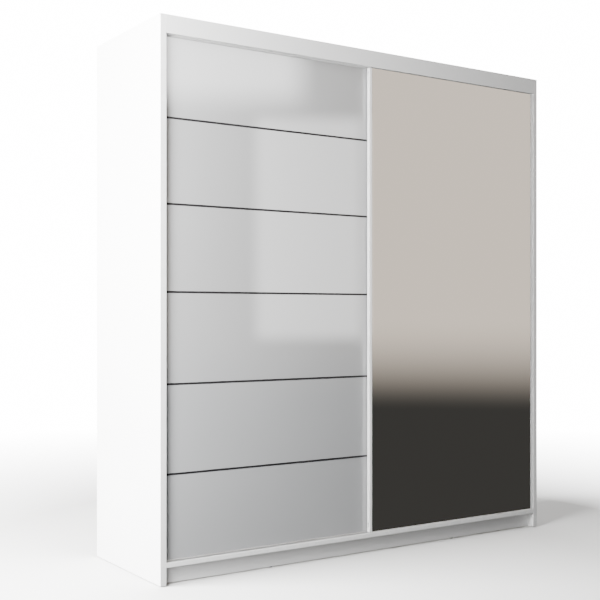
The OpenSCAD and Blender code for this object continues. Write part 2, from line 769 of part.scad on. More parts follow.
// Guide bracket: a plate behind the top rail, a flange under the head track and a collared pin
module guide_bracket() {
    x_low = guide_inset - bracket_w / 2;
    x_high = guide_inset + bracket_w / 2;
    difference() {
        union() {
            block([x_low, rear_lip_y, door_h - bracket_lap], [x_high, rear_lip_y + bracket_t, bracket_top]);
            block([x_low, rear_lip_y, bracket_top - bracket_t], [x_high, bracket_flange_y, bracket_top]);
        }
        screw_holes(guide_screws);
    }
    foot = bracket_top - bracket_t;
    collar_top = guide_roller_z - rolling_gap;
    pin_top = guide_roller_z + guide_roller_h + rolling_gap;
    translate([guide_inset, guide_y, foot]) {
        cylinder(d = guide_collar_d, h = collar_top - foot);
        cylinder(d = axle_d, h = pin_top + pin_head_h - foot);
        translate([0, 0, pin_top - foot]) cylinder(d = pin_head_d, h = pin_head_h);
    }
}

module guide_brackets() both_ends() guide_bracket();

// Wheel with its bore along the local Z, centred on its width, with a shallow ring sunk in each face
module wheel(d, w) {
    ring_depth = 0.6;
    ring_out = d - 4;
    ring_in = axle_d + 5;
    difference() {
        cylinder(d = d, h = w, center = true);
        cylinder(d = axle_d + 2 * running_gap, h = w + 2, center = true);
        for (side = [-1, 1]) translate([0, 0, side * w / 2]) difference() {
            cylinder(d = ring_out, h = 2 * ring_depth, center = true);
            cylinder(d = ring_in, h = w, center = true);
        }
    }
}

module floor_roller(x) color("gray")
    translate([x, roller_y, roller_z]) rotate([90, 0, 0]) wheel(roller_d, roller_w);

module guide_roller(x) color("gray")
    translate([x, guide_y, guide_roller_z + guide_roller_h / 2]) wheel(guide_roller_d, guide_roller_h);

// ---- Glass door ----

module glass_door_board() color("white") in_glass_door() infill_board();

module glass_pane(n) color("lightgray") in_glass_door()
    glass(pane_bottom(n - 1), pane_bottom(n) - strip_slot);

// T-shaped strips: a thin face in front of the panes and a web between them
module divider_strips() color("dimgray") in_glass_door()
    for (n = [1:len(pane_shares) - 1]) translate([0, 0, pane_bottom(n) - strip_slot / 2]) {
        x_low = lip_front + pane_gap;
        x_high = door_w - lip_front - pane_gap;
        block([x_low, lip_t - strip_face_t, -strip_h / 2], [x_high, lip_t, strip_h / 2]);
        block([x_low, lip_t - strip_face_t, -strip_web_t / 2], [x_high, panel_y, strip_web_t / 2]);
    }

module glass_door_stile_left() color("white") in_glass_door() stile();

module glass_door_stile_right() color("white") in_glass_door() stile_right();

module glass_door_rails() color("silver") in_glass_door() door_rails();

module glass_door_roller_housings() color("dimgray") in_glass_door() roller_housings();

module glass_door_guide_brackets() color("silver") in_glass_door() guide_brackets();

module glass_door_fasteners() color("silver") in_glass_door() door_fasteners();

module glass_roller_left() in_glass_door() floor_roller(roller_x);

module glass_roller_right() in_glass_door() floor_roller(door_w - roller_x);

module glass_guide_left() in_glass_door() guide_roller(guide_inset);

module glass_guide_right() in_glass_door() guide_roller(door_w - guide_inset);

// ---- Mirror door ----

module mirror_door_board() color("white") in_mirror_door() infill_board();

module mirror_sheet() color("lightblue") in_mirror_door() glass(pane_z0, door_h);

module mirror_door_stile_left() color("white") in_mirror_door() stile();

module mirror_door_stile_right() color("white") in_mirror_door() stile_right();

module mirror_door_rails() color("silver") in_mirror_door() door_rails();

module mirror_door_roller_housings() color("dimgray") in_mirror_door() roller_housings();

module mirror_door_guide_brackets() color("silver") in_mirror_door() guide_brackets();

module mirror_door_fasteners() color("silver") in_mirror_door() door_fasteners();

// Soft line in the corner between each stile's front lip and the mirror
module mirror_gaskets() color("gray") in_mirror_door() both_ends()
    block([lip_front, lip_t - 1.2, pane_z0], [lip_front + 1.2, lip_t, door_h]);

// Pile strip on the rear lip of the left stile, which closes the gap to the door behind
module pile_seal() color("gray") in_mirror_door()
    block([4, door_t, rail_h / 2], [10, door_t + door_gap - 0.5, door_h - rail_h / 2]);

module mirror_roller_left() in_mirror_door() floor_roller(roller_x);

module mirror_roller_right() in_mirror_door() floor_roller(door_w - roller_x);

module mirror_guide_left() in_mirror_door() guide_roller(guide_inset);

module mirror_guide_right() in_mirror_door() guide_roller(door_w - guide_inset);

side_panel_left();
side_panel_right();
top_panel();
bottom_panel();
centre_partition();
top_fascia();
front_plinth();
rear_plinth();
plinth_support();
back_panel_left();
back_panel_right();
back_joining_strip();
top_track();
bottom_track();
hat_shelf();
shelf(1);  // shelf_1
shelf(2);  // shelf_2
shelf(3);  // shelf_3
shelf(4);  // shelf_4
hanging_rail();
rail_supports();
shelf_pins();
cam_fittings();
dowels();
wall_brackets();
carcass_screws();
glides();
track_stops();
glass_door_board();
glass_pane(1);  // glass_pane_1
glass_pane(2);  // glass_pane_2
glass_pane(3);  // glass_pane_3
glass_pane(4);  // glass_pane_4
glass_pane(5);  // glass_pane_5
glass_pane(6);  // glass_pane_6
divider_strips();
glass_door_stile_left();
glass_door_stile_right();
glass_door_rails();
glass_door_roller_housings();
glass_door_guide_brackets();
glass_door_fasteners();
mirror_door_board();
mirror_sheet();  // mirror
mirror_door_stile_left();
mirror_door_stile_right();
mirror_door_rails();
mirror_door_roller_housings();
mirror_door_guide_brackets();
mirror_door_fasteners();
mirror_gaskets();
pile_seal();
glass_roller_left();
glass_roller_right();
mirror_roller_left();
mirror_roller_right();
glass_guide_left();
glass_guide_right();
mirror_guide_left();
mirror_guide_right();
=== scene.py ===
"""Looks of a white wardrobe with two sliding doors, one of grey glass and one of mirror, on its CAD frame."""

import json
import math
import random

import bmesh
import bpy
from mathutils import Matrix, Vector

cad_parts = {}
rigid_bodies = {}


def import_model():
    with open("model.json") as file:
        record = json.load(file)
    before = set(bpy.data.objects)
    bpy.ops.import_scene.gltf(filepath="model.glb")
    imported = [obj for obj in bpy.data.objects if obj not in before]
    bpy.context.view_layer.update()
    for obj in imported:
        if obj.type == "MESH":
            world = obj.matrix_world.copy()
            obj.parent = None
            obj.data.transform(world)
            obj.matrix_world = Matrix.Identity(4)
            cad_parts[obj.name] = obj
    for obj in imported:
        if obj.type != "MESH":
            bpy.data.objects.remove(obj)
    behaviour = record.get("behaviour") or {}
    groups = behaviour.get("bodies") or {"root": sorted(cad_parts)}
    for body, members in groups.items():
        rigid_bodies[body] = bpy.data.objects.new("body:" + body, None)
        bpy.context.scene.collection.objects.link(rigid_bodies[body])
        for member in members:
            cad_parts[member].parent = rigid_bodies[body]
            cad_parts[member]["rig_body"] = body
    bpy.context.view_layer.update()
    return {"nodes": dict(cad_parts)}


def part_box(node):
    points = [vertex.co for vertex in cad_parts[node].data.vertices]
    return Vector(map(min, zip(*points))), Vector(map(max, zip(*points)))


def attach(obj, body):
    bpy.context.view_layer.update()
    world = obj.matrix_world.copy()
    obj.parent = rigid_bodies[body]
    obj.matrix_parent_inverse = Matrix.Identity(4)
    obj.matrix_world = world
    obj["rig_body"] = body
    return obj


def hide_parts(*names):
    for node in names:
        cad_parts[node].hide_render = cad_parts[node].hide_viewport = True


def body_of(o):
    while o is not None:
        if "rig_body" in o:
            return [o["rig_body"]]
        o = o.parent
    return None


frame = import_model()

MM = 0.001
X, Y, Z = 0, 1, 2
SMOOTH_ANGLE = math.radians(50)
SHARP_ANGLE = math.radians(30)
FLAT_ANGLE = math.radians(0.5)
WELD_DISTANCE = 0.001 * MM
LAMINATE_REACH = 1.2 * MM
BOARD_BEVEL = 0.6 * MM
STILE_BEVEL = 0.35 * MM
PANE_BEVEL = 0.5 * MM
SHEET_BEVEL = 0.2 * MM
# Depths, from a stile's outer side, between which the floor of its grip groove lies; that floor gets dark
# rubber as painted shade in the groove
GROOVE_FLOOR = (0.5 * MM, 1.3 * MM)
DOORS = ("glass", "mirror")


# ---- Materials ----


class Look:
    """A Principled material, with helpers for the textures that drive it. Sizes are in metres."""

    def __init__(self, name, colour, roughness, **constants):
        self.material = bpy.data.materials.new(name)
        self.material.use_nodes = True
        self.tree = self.material.node_tree
        self.shader = self.tree.nodes["Principled BSDF"]
        self.shader.inputs["Base Color"].default_value = (*colour, 1)
        self.shader.inputs["Roughness"].default_value = roughness
        for socket, value in constants.items():
            self.shader.inputs[socket.replace("_", " ")].default_value = value
        self.place = self.node("ShaderNodeTexCoord").outputs["Object"]
        self.normal = None

    def node(self, kind, inputs=None, **settings):
        made = self.tree.nodes.new(kind)
        for name, value in settings.items():
            setattr(made, name, value)
        for name, value in (inputs or {}).items():
            if isinstance(value, bpy.types.NodeSocket):
                self.tree.links.new(value, made.inputs[name])
            else:
                made.inputs[name].default_value = value
        return made

    def noise(self, size, stretch=(1, 1, 1), detail=2.0, distortion=0.0):
        """Noise with features of that size, drawn out along an axis whose stretch is above 1."""
        scale = tuple(1 / factor for factor in stretch)
        place = self.node("ShaderNodeMapping", {"Vector": self.place, "Scale": scale}).outputs[0]
        settings = {"Vector": place, "Scale": 1 / size, "Detail": detail, "Distortion": distortion}
        return self.node("ShaderNodeTexNoise", settings).outputs["Fac"]

    def cells(self, size, stretch=(1, 1, 1), output="Color"):
        scale = tuple(1 / factor for factor in stretch)
        place = self.node("ShaderNodeMapping", {"Vector": self.place, "Scale": scale}).outputs[0]
        return self.node("ShaderNodeTexVoronoi", {"Vector": place, "Scale": 1 / size}).outputs[output]

    def span(self, value, low, high, from_low=0.3, from_high=0.7):
        """The value, which runs between from_low and from_high, spread between low and high."""
        settings = {"Value": value, "From Min": from_low, "From Max": from_high}
        settings.update({"To Min": low, "To Max": high})
        return self.node("ShaderNodeMapRange", settings).outputs["Result"]

    def colour(self, value, low, high, from_low=0.3, from_high=0.7):
        """Base colour that goes from low to high with the value."""
        factor = self.span(value, 0, 1, from_low, from_high)
        mix = self.node("ShaderNodeMix", data_type="RGBA")
        self.tree.links.new(factor, mix.inputs["Factor"])
        mix.inputs["A"].default_value = (*low, 1)
        mix.inputs["B"].default_value = (*high, 1)
        self.tree.links.new(mix.outputs["Result"], self.shader.inputs["Base Color"])
        return self

    def roughness(self, value, low, high):
        self.tree.links.new(self.span(value, low, high), self.shader.inputs["Roughness"])
        return self

    def bump(self, value, depth, strength=1.0):
        """Relief of that depth, on top of the relief added before it."""
        bump = self.node("ShaderNodeBump", {"Height": value, "Distance": depth, "Strength": strength})
        if self.normal is not None:
            self.tree.links.new(self.normal, bump.inputs["Normal"])
        self.normal = bump.outputs["Normal"]
        self.tree.links.new(self.normal, self.shader.inputs["Normal"])
        return self


def melamine():
    """White melamine with a fine pearl relief and the faintest unevenness of tone."""
    look = Look("white_melamine", (0.86, 0.86, 0.85), 0.36, Specular_IOR_Level=0.35)
    look.colour(look.noise(0.35, detail=3), (0.85, 0.85, 0.84), (0.875, 0.875, 0.868))
    look.roughness(look.noise(0.006, detail=3), 0.31, 0.41)
    return look.bump(look.noise(0.0016, detail=3), 0.00005, 0.5).material


def edge_band():
    """White edge banding: smoother than the boards, with fine lines along its length."""
    look = Look("white_edge_band", (0.87, 0.87, 0.86), 0.26, Coat_Weight=0.15, Coat_Roughness=0.12)
    look.colour(look.noise(0.12, detail=2), (0.86, 0.86, 0.85), (0.88, 0.88, 0.872))
    look.roughness(look.noise(0.0012, (40, 1, 40)), 0.22, 0.31)
    return look.bump(look.noise(0.0009, (60, 1, 60)), 0.00002, 0.5).material


def chipboard():
    """Raw chipboard, as in the unbanded edges, the bores and the grooves."""
    look = Look("raw_chipboard", (0.42, 0.29, 0.17), 0.85, Specular_IOR_Level=0.2)
    look.colour(look.cells(0.0035, (2.2, 1.6, 0.7)), (0.25, 0.16, 0.085), (0.60, 0.44, 0.27), 0.0, 1.0)
    look.bump(look.cells(0.0035, (2.2, 1.6, 0.7), "Distance"), 0.0005, 0.7)
    return look.bump(look.noise(0.0008, detail=4), 0.0003, 0.6).material


def fibreboard_face():
    """White lacquer printed on thin fibreboard."""
    look = Look("white_lacquered_fibreboard", (0.82, 0.82, 0.80), 0.5, Specular_IOR_Level=0.35)
    look.colour(look.noise(0.2, detail=4), (0.80, 0.80, 0.78), (0.835, 0.835, 0.82))
    look.roughness(look.noise(0.01, detail=3), 0.45, 0.56)
    return look.bump(look.noise(0.002, detail=4), 0.00006, 0.5).material


def fibreboard_back():
    """Bare pale brown rear face of thin fibreboard, with its mottling and loose fibres."""
    look = Look("bare_fibreboard", (0.27, 0.165, 0.09), 0.78, Specular_IOR_Level=0.2)
    look.colour(look.noise(0.0035, (1, 1, 2.5), 9, 0.4), (0.235, 0.14, 0.072), (0.31, 0.195, 0.11))
    look.bump(look.noise(0.0022, (1, 1, 5), 5), 0.00018, 0.6)
    return look.bump(look.noise(0.0006, (6, 1, 1), 4), 0.00012, 0.5).material


def lacquered_glass():
    """Clear glass over light grey lacquer: glossy, with the slight waviness of float glass."""
    look = Look("grey_lacquered_glass", (0.40, 0.406, 0.412), 0.03, IOR=1.95, Coat_Weight=0.0)
    look.colour(look.noise(0.6, detail=2), (0.392, 0.398, 0.404), (0.412, 0.418, 0.424))
    look.roughness(look.noise(0.09, detail=3), 0.012, 0.03)
    return look.bump(look.noise(0.16, detail=0), 0.00004, 0.4).material


def glass_edge(tint):
    """Ground edge of a pane, greener than its face."""
    look = Look("ground_glass_edge", tint, 0.22, IOR=1.5, Coat_Weight=0.6, Coat_Roughness=0.06)
    low = tuple(0.8 * channel for channel in tint)
    look.colour(look.noise(0.004, (8, 1, 8)), low, tint)
    return look.bump(look.noise(0.0006, (12, 1, 12)), 0.00003, 0.5).material


def silvering():
    """Mirror glass."""
    look = Look("silvered_glass", (0.90, 0.915, 0.91), 0.0, Metallic=1.0)
    look.colour(look.noise(0.8, detail=1), (0.895, 0.91, 0.905), (0.905, 0.92, 0.915))
    return look.roughness(look.noise(0.25, detail=2), 0.0, 0.008).material


def backing_paint():
    """Grey protective paint on the back of the mirror and of the panes."""
    look = Look("backing_paint", (0.30, 0.32, 0.33), 0.55)
    look.colour(look.noise(0.05, detail=4), (0.28, 0.30, 0.31), (0.33, 0.35, 0.36))
    return look.bump(look.noise(0.0025, detail=3), 0.00006, 0.5).material


def gloss_lacquer():
    """White gloss lacquer on the door stiles."""
    look = Look("white_gloss_lacquer", (0.93, 0.93, 0.925), 0.18, Coat_Weight=0.8, Coat_Roughness=0.05)
    look.colour(look.noise(0.3, detail=2), (0.92, 0.92, 0.915), (0.94, 0.94, 0.936))
    look.roughness(look.noise(0.004, (1, 1, 30)), 0.14, 0.24)
    return look.bump(look.noise(0.0045, detail=1), 0.00003, 0.35).material


def graphite():
    """Satin graphite finish with fine lines along the strip."""
    look = Look("satin_graphite", (0.012, 0.012, 0.013), 0.42, Specular_IOR_Level=0.3)
    look.colour(look.noise(0.0006, (120, 1, 1)), (0.009, 0.009, 0.010), (0.016, 0.016, 0.018))
    look.roughness(look.noise(0.0008, (90, 1, 1)), 0.36, 0.50)
    return look.bump(look.noise(0.0005, (160, 1, 1)), 0.00002, 0.6).material


def aluminium():
    """Natural anodised extrusion with die lines along its length."""
    look = Look("anodised_aluminium", (0.70, 0.71, 0.72), 0.34, Metallic=1.0)
    look.colour(look.noise(0.0012, (200, 1, 1), 3), (0.64, 0.65, 0.66), (0.76, 0.77, 0.78))
    look.roughness(look.noise(0.0009, (120, 1, 1), 3), 0.27, 0.43)
    return look.bump(look.noise(0.0007, (250, 1, 1)), 0.00002, 0.7).material


def zinc():
    """Bright zinc plating on pressed and turned steel."""
    look = Look("zinc_plated_steel", (0.62, 0.64, 0.67), 0.32, Metallic=1.0)
    look.colour(look.cells(0.0024), (0.52, 0.54, 0.57), (0.70, 0.72, 0.75), 0.0, 1.0)
    look.roughness(look.noise(0.0035, detail=4), 0.24, 0.42)
    return look.bump(look.noise(0.0007, detail=3), 0.00002, 0.6).material


def chrome():
    """Polished chrome with hairline scratches from hangers."""
    look = Look("chromed_steel", (0.80, 0.81, 0.83), 0.06, Metallic=1.0)
    look.colour(look.noise(0.05, detail=3), (0.78, 0.79, 0.81), (0.82, 0.83, 0.85))
    look.roughness(look.noise(0.0009, (1, 40, 40), 3), 0.04, 0.13)
    return look.bump(look.noise(0.0006, (1, 60, 60)), 0.000008, 0.5).material


def moulded(name, low, high, roughness, **constants):
    """Moulded plastic with a fine grain."""
    look = Look(name, low, roughness, **constants)
    look.colour(look.noise(0.015, detail=4), low, high)
    look.roughness(look.noise(0.0012, detail=3), 0.8 * roughness, 1.2 * roughness)
    return look.bump(look.cells(0.0007, output="Distance"), 0.00004, 0.5).material


def beech():
    """Beech dowel: straight grain with short darker flecks."""
    look = Look("beech", (0.72, 0.52, 0.34), 0.6, Specular_IOR_Level=0.3)
    look.colour(look.noise(0.0011, (14, 1.5, 1), 5, 0.4), (0.58, 0.40, 0.25), (0.80, 0.61, 0.42))
    return look.bump(look.noise(0.0006, (18, 1, 1), 4), 0.00008, 0.6).material


def rubber_and_groove_shade():
    """Soft grey gasket rubber, a little cloudy. On the floor of the stiles' grip grooves it is painted shade.
    """
    look = Look("soft_rubber_and_painted_groove_shade", (0.16, 0.16, 0.165), 0.5, Subsurface_Weight=0.08, Subsurface_Scale=0.002)
    look.colour(look.noise(0.02, detail=3), (0.145, 0.145, 0.15), (0.18, 0.18, 0.185))
    return look.bump(look.noise(0.0015, (1, 1, 20)), 0.00004, 0.5).material


def pile():
    """Grey polypropylene pile."""
    look = Look("grey_pile", (0.33, 0.33, 0.34), 0.7, Sheen_Weight=0.5, Sheen_Roughness=0.4)
    look.colour(look.noise(0.0009, detail=3), (0.24, 0.24, 0.25), (0.42, 0.42, 0.43))
    return look.bump(look.noise(0.0004, detail=2), 0.0001, 0.6).material


MELAMINE = melamine()
EDGE_BAND = edge_band()
CHIPBOARD = chipboard()
FIBRE_FACE = fibreboard_face()
FIBRE_BACK = fibreboard_back()
GREY_GLASS = lacquered_glass()
GLASS_EDGE = glass_edge((0.40, 0.52, 0.47))
MIRROR = silvering()
BACKING = backing_paint()
GLOSS_WHITE = gloss_lacquer()
GRAPHITE = graphite()
ALUMINIUM = aluminium()
ZINC = zinc()
CHROME = chrome()
BLACK_PLASTIC = moulded("black_moulded_plastic", (0.022, 0.022, 0.023), (0.034, 0.034, 0.035), 0.45)
WHITE_PLASTIC = moulded("white_extruded_plastic", (0.80, 0.80, 0.785), (0.84, 0.84, 0.83), 0.38)
NYLON = moulded("turned_nylon", (0.56, 0.57, 0.58), (0.64, 0.65, 0.655), 0.34, Subsurface_Weight=0.05)
BEECH = beech()
# Dark grey rubber for the mirror gaskets, also used as painted shade on the floor of the stiles' grip grooves
RUBBER_AND_GROOVE_SHADE = rubber_and_groove_shade()
SOFT_WHITE = moulded("soft_white_plastic", (0.80, 0.80, 0.79), (0.85, 0.85, 0.84), 0.5)
PILE = pile()


# ---- Pieces made from the frame ----


def cad_mesh(node):
    """The node's mesh as a bmesh, with its split vertices joined and its flat faces whole."""
    made = bmesh.new()
    made.from_mesh(frame["nodes"][node].data)
    bmesh.ops.remove_doubles(made, verts=made.verts, dist=WELD_DISTANCE)
    bmesh.ops.dissolve_limit(
        made, angle_limit=FLAT_ANGLE, verts=made.verts, edges=made.edges, use_dissolve_boundaries=False
    )
    return made


def soften(made, radius, min_length):
    """Rounds every sharp edge that is longer than min_length."""
    edges = [
        edge
        for edge in made.edges
        if edge.is_manifold and edge.calc_length() > min_length and edge.calc_face_angle() > SHARP_ANGLE
    ]
    bmesh.ops.bevel(
        made, geom=edges, offset=radius, offset_type="OFFSET", segments=2, profile=0.5,
        affect="EDGES", clamp_overlap=False,
    )


def new_piece(name, made, body, materials, choose=None):
    """Object from a bmesh that rides on a body. choose(face) gives each face's place in materials."""
    mesh = bpy.data.meshes.new(name)
    for face in made.faces:
        face.smooth = True
        face.material_index = choose(face) if choose else 0
    made.to_mesh(mesh)
    made.free()
    for material in materials:
        mesh.materials.append(material)
    mesh.set_sharp_from_angle(angle=SMOOTH_ANGLE)
    piece = bpy.data.objects.new(name, mesh)
    bpy.context.scene.collection.objects.link(piece)
    normals = piece.modifiers.new("even_normals", "WEIGHTED_NORMAL")
    normals.keep_sharp = True
    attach(piece, body)
    return piece


def stand_in(made, node, materials, choose=None):
    """A new piece that takes a CAD node's place."""
    source = frame["nodes"][node]
    piece = new_piece("finished_" + node, made, body_of(source)[0], materials, choose)
    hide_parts(node)
    return piece


def finish_plain(node, material, radius, min_length=6 * MM):
    made = cad_mesh(node)
    soften(made, radius, min_length)
    return stand_in(made, node, [material])


def finish_board(node, thin_axis, banded):
    """A board with laminate on its two large faces, banding on the edges named, and raw core elsewhere.

    thin_axis is the axis through its thickness. banded lists (axis, side), with side -1 or 1.
    """
    low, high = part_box(node)
    made = cad_mesh(node)
    soften(made, BOARD_BEVEL, 10 * MM)

    def at_side(point, axis, side):
        return abs(point[axis] - (high if side > 0 else low)[axis]) < LAMINATE_REACH

    def choose(face):
        centre = face.calc_center_median()
        for axis, side in banded:
            if at_side(centre, axis, side) and face.normal[axis] * side > 0.3:
                return 1
        for side in (-1, 1):
            if at_side(centre, thin_axis, side) and face.normal[thin_axis] * side > 0.3:
                return 0
        return 2

    return stand_in(made, node, [MELAMINE, EDGE_BAND, CHIPBOARD], choose)


def finish_sheet(node, face_material, back_material, edge_material, radius):
    """A thin upright sheet whose front, towards -Y, differs from its back."""
    made = cad_mesh(node)
    soften(made, radius, 8 * MM)

    def choose(face):
        if face.normal.y < -0.3:
            return 0
        return 1 if face.normal.y > 0.9 else 2

    return stand_in(made, node, [face_material, back_material, edge_material], choose)


def finish_stile(node, outward):
    """A door stile whose grip groove floor is dark rubber, a painted shade line in the groove. outward is the
    x direction it faces.
    """
    low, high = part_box(node)
    outer = high.x if outward > 0 else low.x
    made = cad_mesh(node)
    soften(made, STILE_BEVEL, 6 * MM)

    def choose(face):
        depth = abs(face.calc_center_median().x - outer)
        faces_outward = face.normal.x * outward > 0.9
        # Faces on the groove floor get the dark rubber: painted shade in the groove
        return 1 if faces_outward and GROOVE_FLOOR[0] < depth < GROOVE_FLOOR[1] else 0

    return stand_in(made, node, [GLOSS_WHITE, RUBBER_AND_GROOVE_SHADE], choose)


FRONT = (Y, -1)
TOP = (Z, 1)
BOTTOM = (Z, -1)
# Boards, with the axis through their thickness and their banded edges
BOARDS = {
    "side_panel_left": (X, [FRONT, TOP]),
    "side_panel_right": (X, [FRONT, TOP]),
    "top_panel": (Z, []),
    "bottom_panel": (Z, [FRONT]),
    "centre_partition": (X, [FRONT]),
    "top_fascia": (Y, [TOP, BOTTOM]),
    "front_plinth": (Y, []),
    "rear_plinth": (Y, []),
    "plinth_support": (X, []),
    "hat_shelf": (Z, [FRONT]),
    "shelf_1": (Z, [FRONT]),
    "shelf_2": (Z, [FRONT]),
    "shelf_3": (Z, [FRONT]),
    "shelf_4": (Z, [FRONT]),
    "glass_door_board": (Y, []),
    "mirror_door_board": (Y, []),
}
# Nodes of one material, with the radius of their edges in mm
PLAIN = {
    "back_joining_strip": (WHITE_PLASTIC, 0.3),
    "top_track": (ALUMINIUM, 0.2),
    "bottom_track": (ALUMINIUM, 0.2),
    "hanging_rail": (CHROME, 0.2),
    "rail_supports": (ZINC, 0.4),
    "shelf_pins": (ZINC, 0.2),
    "cam_fittings": (ZINC, 0.2),
    "dowels": (BEECH, 0.2),
    "wall_brackets": (ZINC, 0.4),
    "carcass_screws": (ZINC, 0.2),
    "glides": (BLACK_PLASTIC, 0.3),
    "track_stops": (BLACK_PLASTIC, 0.6),
    "divider_strips": (GRAPHITE, 0.25),
}
# The same for the parts that both doors have
DOOR_PLAIN = {
    "rails": (ALUMINIUM, 0.25),
    "roller_housings": (BLACK_PLASTIC, 0.5),
    "guide_brackets": (ZINC, 0.4),
    "fasteners": (ZINC, 0.2),
}
for door in DOORS:
    for part, finish in DOOR_PLAIN.items():
        PLAIN[f"{door}_door_{part}"] = finish
    for side in ("left", "right"):
        PLAIN[f"{door}_roller_{side}"] = (NYLON, 0.4)
        PLAIN[f"{door}_guide_{side}"] = (NYLON, 0.4)
PLAIN["mirror_gaskets"] = (RUBBER_AND_GROOVE_SHADE, 0.2)

for node, (thin_axis, banded) in BOARDS.items():
    finish_board(node, thin_axis, banded)
for node, (material, radius_mm) in PLAIN.items():
    finish_plain(node, material, radius_mm * MM)
for node in ("back_panel_left", "back_panel_right"):
    finish_sheet(node, FIBRE_FACE, FIBRE_BACK, FIBRE_BACK, SHEET_BEVEL)
for door in DOORS:
    finish_stile(f"{door}_door_stile_left", -1)
    finish_stile(f"{door}_door_stile_right", 1)
for number in range(1, 7):
    finish_sheet(f"glass_pane_{number}", GREY_GLASS, BACKING, GLASS_EDGE, PANE_BEVEL)
finish_sheet("mirror", MIRROR, BACKING, GLASS_EDGE, PANE_BEVEL)


BRISTLE_SPACING = 1.1 * MM
BRISTLE_HALF_WIDTH = 0.35 * MM
BRISTLE_ROW_PITCH = 1.4 * MM
BRISTLE_LEAN = 0.3 * MM
# Shares of the seal's depth: its backing, and how far the shortest bristle's tip stays back
BACKING_SHARE = 0.25
TIP_SPREAD = 0.12


def finish_pile_seal(node="pile_seal"):
    """The CAD strip turned into a dense row of short bristles on a thin backing."""
    low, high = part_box(node)
    dice = random.Random(7)
    made = bmesh.new()
    backing = BACKING_SHARE * (high.y - low.y)
    rows = max(2, round((high.x - low.x) / BRISTLE_ROW_PITCH))
    count = int((high.z - low.z) / BRISTLE_SPACING)
    for row in range(rows):
        x = low.x + (row + 0.5) * (high.x - low.x) / rows
        for step in range(count):
            z = low.z + (step + 0.5) * (high.z - low.z) / count
            lean = [dice.uniform(-1, 1) * BRISTLE_LEAN for _ in range(2)]
            tip_y = low.y + dice.uniform(0.0, TIP_SPREAD) * (high.y - low.y)
            tip = made.verts.new((x + lean[0], tip_y, z + lean[1]))
            corners = []
            for turn in range(3):
                angle = turn * math.tau / 3 + dice.uniform(0, 1)
                across = BRISTLE_HALF_WIDTH * math.cos(angle)
                along = BRISTLE_HALF_WIDTH * math.sin(angle)
                corners.append(made.verts.new((x + across, high.y - 0.5 * backing, z + along)))
            made.faces.new(corners)
            for a, b in ((0, 1), (1, 2), (2, 0)):
                made.faces.new((corners[b], corners[a], tip))
    box_size = (high.x - low.x, backing, high.z - low.z)
    box_centre = Vector(((low.x + high.x) / 2, high.y - backing / 2, (low.z + high.z) / 2))
    bmesh.ops.create_cube(made, size=1, matrix=Matrix.LocRotScale(box_centre, None, box_size))
    bmesh.ops.recalc_face_normals(made, faces=made.faces)
    return stand_in(made, node, [PILE])


finish_pile_seal()


LIP_FOOT = 3 * MM
LIP_BLADE = 0.8 * MM
LIP_INSET = 4 * MM
# Each door's top lip: its distance from the door's front
TOP_LIPS = {"glass": 1 * MM, "mirror": 14.6 * MM}
TOP_LIP_HEIGHT = 9 * MM
FOOT_LIP_HEIGHT = -1.7 * MM
# Where the blade starts, bends and ends, as shares of the foot's depth.
# The bend's second share is one of the lip's height.
BLADE_START = 0.60
BLADE_BEND = (0.50, 0.55)
BLADE_TIP = 0.32
# Shares of the lip's height: the foot, and the bevel at the tip
FOOT_SHARE = 0.22
TIP_SHARE = 0.05


def dust_lip(name, door, start, length, local_y, z, height):
    """Soft white dust lip along a door's top or bottom: a foot with a thin blade that leans forwards.

    It starts at x = start, at that z, and hangs down when its height is below 0.
    local_y is the distance from the door's front to the lip's front.
    """
    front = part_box(f"{door}_door_stile_right")[0].y + local_y
    foot = FOOT_SHARE * height
    tip = TIP_SHARE * height
    half = LIP_BLADE / 2
    bend_y, bend_z = BLADE_BEND
    blade = [
        (BLADE_START * LIP_FOOT, foot),
        (bend_y * LIP_FOOT, bend_z * height),
        (BLADE_TIP * LIP_FOOT, height - tip),
    ]
    outline = [(0, 0), (LIP_FOOT, 0), (LIP_FOOT, foot)]
    outline += [(y + half, up) for y, up in blade] + [(BLADE_TIP * LIP_FOOT, height)]
    outline += [(y - half, up) for y, up in reversed(blade)] + [(0, foot)]
    made = bmesh.new()
    ends = [[made.verts.new((x, front + y, z + up)) for y, up in outline] for x in (start, start + length)]
    made.faces.new(reversed(ends[0]))
    made.faces.new(ends[1])
    for i in range(len(outline)):
        j = (i + 1) % len(outline)
        made.faces.new((ends[0][i], ends[0][j], ends[1][j], ends[1][i]))
    bmesh.ops.recalc_face_normals(made, faces=made.faces)
    return new_piece(name, made, f"{door}_door", [SOFT_WHITE])


for door, local_y in TOP_LIPS.items():
    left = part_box(f"{door}_door_stile_left")[0]
    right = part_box(f"{door}_door_stile_right")[1]
    board_low, board_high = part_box(f"{door}_door_board")
    length = board_high.x - board_low.x - 2 * LIP_INSET
    dust_lip(
        f"{door}_door_top_seal", door, board_low.x + LIP_INSET, length, local_y, right.z, TOP_LIP_HEIGHT
    )
    length = right.x - left.x - 2 * MM
    dust_lip(f"{door}_door_foot_seal", door, left.x + 1 * MM, length, 1 * MM, left.z, FOOT_LIP_HEIGHT)


# ---- Camera, floor and lights ----


SENSOR_WIDTH = 36
LENS = 62.61
UPWARD_SHIFT = 0.0237
CAMERA_PLACE = (-2.7405, -3.8319, 1.0227)
CAMERA_HEADING = -0.59086


def make_camera():
    data = bpy.data.cameras.new("camera")
    data.sensor_width = SENSOR_WIDTH
    data.lens = LENS
    data.shift_y = UPWARD_SHIFT
    camera = bpy.data.objects.new("camera", data)
    camera.location = CAMERA_PLACE
    camera.rotation_euler = (math.pi / 2, 0, CAMERA_HEADING)
    bpy.context.scene.collection.objects.link(camera)
    bpy.context.scene.camera = camera


